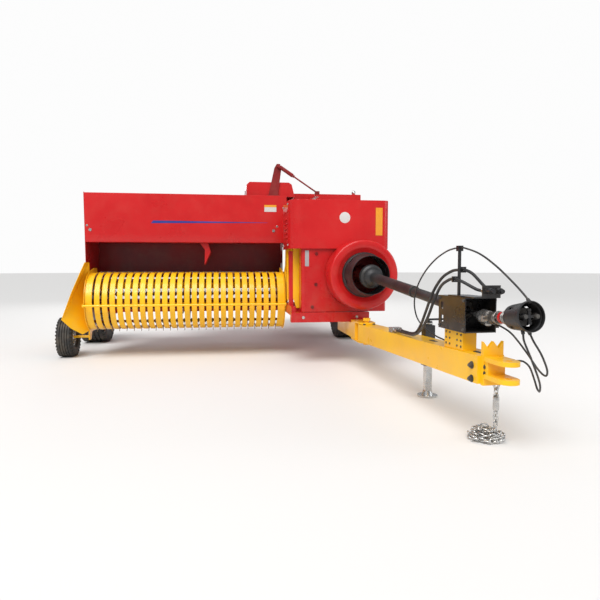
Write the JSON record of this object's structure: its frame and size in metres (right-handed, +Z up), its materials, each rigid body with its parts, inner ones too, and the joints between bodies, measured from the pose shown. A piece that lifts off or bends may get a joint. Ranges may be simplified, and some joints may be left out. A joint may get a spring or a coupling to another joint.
{
  "type": "square baler",
  "caption": "Towed small square baler with side pickup, hollow bale chamber, flywheel drive line, swinging tongue and parking jack.",
  "frame": {"origin": "centre of the baler's bounding box on the ground", "axes": "+X towards the tractor, +Y to the baler's left side, +Z up"},
  "size_m": [6.0346, 3.165, 1.87],
  "materials": {
    "bare_steel": "worn bright steel",
    "black_paint": "satin black",
    "black_plastic": "matt moulded black",
    "cable_sheath": "matt black sheath",
    "cast_iron": "grey casting",
    "hose_rubber": "matt black hose",
    "red_paint": "semi-gloss bright red, lightly weathered",
    "tyre_rubber": "matt black rubber",
    "worn_red_paint": "dull dark red",
    "yellow_paint": "semi-gloss golden yellow",
    "zinc_plated": "dull zinc plate"
  },
  "bodies": {
    "chassis": {"axle": "red_paint", "bale_chamber": "red_paint", "bale_tension_frame": "red_paint", "feeder_drive_cover": "red_paint", "feeder_end_sheet": "red_paint", "feeder_floor": "red_paint", "feeder_front_panel": "red_paint", "feeder_housing_back": "red_paint", "feeder_spring_link": "worn_red_paint", "flywheel_guard": "red_paint", "front_shield": "red_paint", "front_shield_lower": "red_paint", "gearbox": "cast_iron", "knotter_stack": "cast_iron", "main_frame": "red_paint", "pickup_drive_guard": "yellow_paint", "pto_bell_guard": "black_plastic", "tongue_carrier": "yellow_paint", "twine_box": "red_paint", "upper_cross_beam": "red_paint"},
    "main_wheel_left": {"main_wheel_left_rim": "yellow_paint", "main_wheel_left_tyre": "tyre_rubber"},
    "main_wheel_right": {"main_wheel_right_rim": "yellow_paint", "main_wheel_right_tyre": "tyre_rubber"},
    "feeder_fork": {"feeder_fork": "red_paint"},
    "knotter_hood": {"knotter_hood": "red_paint"},
    "needle_yoke": {"needle_yoke": "bare_steel"},
    "plunger": {"plunger": "bare_steel"},
    "bale_chute": {"bale_chute": "red_paint"},
    "twine_box_lid": {"twine_box_lid": "red_paint"},
    "pickup": {"pickup_bands": "yellow_paint", "pickup_flare": "yellow_paint", "pickup_frame": "yellow_paint"},
    "pickup_reel": {"pickup_reel": "bare_steel"},
    "gauge_wheel": {"gauge_wheel_rim": "zinc_plated", "gauge_wheel_tyre": "tyre_rubber"},
    "flywheel": {"flywheel": "worn_red_paint"},
    "tongue": {"cable_gland": "black_paint", "guard_cable": "cable_sheath", "guard_stay": "cable_sheath", "hitch_clevis": "yellow_paint", "hose_block": "zinc_plated", "hose_post": "black_paint", "hydraulic_hose_left": "hose_rubber", "hydraulic_hose_right": "hose_rubber", "jack_body": "black_paint", "light_cable": "cable_sheath", "pin_cable": "cable_sheath", "pto_front_guard": "black_plastic", "pto_guard_tube": "black_plastic", "pto_support_box": "black_paint", "safety_chain": "zinc_plated", "tongue_beam": "yellow_paint"},
    "pto_rear_shaft": {"pto_rear_shaft": "zinc_plated"},
    "pto_front_shaft": {"pto_front_shaft": "zinc_plated"},
    "jack_leg": {"jack_leg": "zinc_plated"}
  },
  "joints": [
    {"name": "main_wheel_left_spin", "type": "hinge", "parent": "chassis", "child": "main_wheel_left", "pos_m": [-1.22235, 1.4325, 0.39], "axis": [0, 1, 0], "continuous": true},
    {"name": "main_wheel_right_spin", "type": "hinge", "parent": "chassis", "child": "main_wheel_right", "pos_m": [-1.22235, -1.4475, 0.365], "axis": [0, 1, 0], "continuous": true},
    {"name": "pickup_lift", "type": "hinge", "parent": "chassis", "child": "pickup", "pos_m": [-0.48235, -0.363, 0.745], "axis": [0, -1, 0], "range_deg": [0, 14]},
    {"name": "pickup_reel_spin", "type": "hinge", "parent": "pickup", "child": "pickup_reel", "pos_m": [-0.16035, -0.363, 0.522], "axis": [0, 1, 0], "continuous": true},
    {"name": "gauge_wheel_spin", "type": "hinge", "parent": "pickup", "child": "gauge_wheel", "pos_m": [-0.19735, -1.4875, 0.184], "axis": [0, 1, 0], "continuous": true},
    {"name": "feeder_fork_slide", "type": "slide", "parent": "chassis", "child": "feeder_fork", "axis": [0, 1, 0], "range_m": [-0.6, 0.6]},
    {"name": "plunger_slide", "type": "slide", "parent": "chassis", "child": "plunger", "axis": [1, 0, 0], "range_m": [-0.56, 0.2]},
    {"name": "needle_yoke_swing", "type": "hinge", "parent": "chassis", "child": "needle_yoke", "pos_m": [-1.47235, 0.8425, 0.93], "axis": [0, -1, 0], "range_deg": [0, 70]},
    {"name": "knotter_hood_hinge", "type": "hinge", "parent": "chassis", "child": "knotter_hood", "pos_m": [-0.84235, 0.8425, 1.42], "axis": [0, 1, 0], "range_deg": [0, 60]},
    {"name": "twine_box_lid_hinge", "type": "hinge", "parent": "chassis", "child": "twine_box_lid", "pos_m": [-1.26735, 0.4125, 1.436], "axis": [-1, 0, 0], "range_deg": [0, 100]},
    {"name": "bale_chute_hinge", "type": "hinge", "parent": "chassis", "child": "bale_chute", "pos_m": [-2.54735, 0.8425, 0.734], "axis": [0, 1, 0], "range_deg": [0, 80]},
    {"name": "flywheel_spin", "type": "hinge", "parent": "chassis", "child": "flywheel", "pos_m": [0.67765, 1.1175, 0.78], "axis": [1, 0, 0], "continuous": true},
    {"name": "tongue_swing", "type": "hinge", "parent": "chassis", "child": "tongue", "pos_m": [0.87765, 1.1175, 0.3125], "axis": [0, 0, 1], "range_deg": [-23, 0]},
    {"name": "pto_rear_shaft_spin", "type": "hinge", "parent": "tongue", "child": "pto_rear_shaft", "pos_m": [0.87765, 1.1175, 0.78], "axis": [0.9936, 0.0608, -0.0957], "continuous": true},
    {"name": "pto_front_shaft_spin", "type": "hinge", "parent": "tongue", "child": "pto_front_shaft", "pos_m": [2.69426, 1.22861, 0.605], "axis": [0.9868, 0.1109, 0.1177], "continuous": true},
    {"name": "jack_leg_slide", "type": "slide", "parent": "tongue", "child": "jack_leg", "axis": [0, 0, 1], "range_m": [0, 0.16]}
  ],
  "couplings": [
    {"joint": "pto_rear_shaft_spin", "follows": "flywheel_spin", "ratio": 1},
    {"joint": "pto_front_shaft_spin", "follows": "flywheel_spin", "ratio": 1}
  ]
}
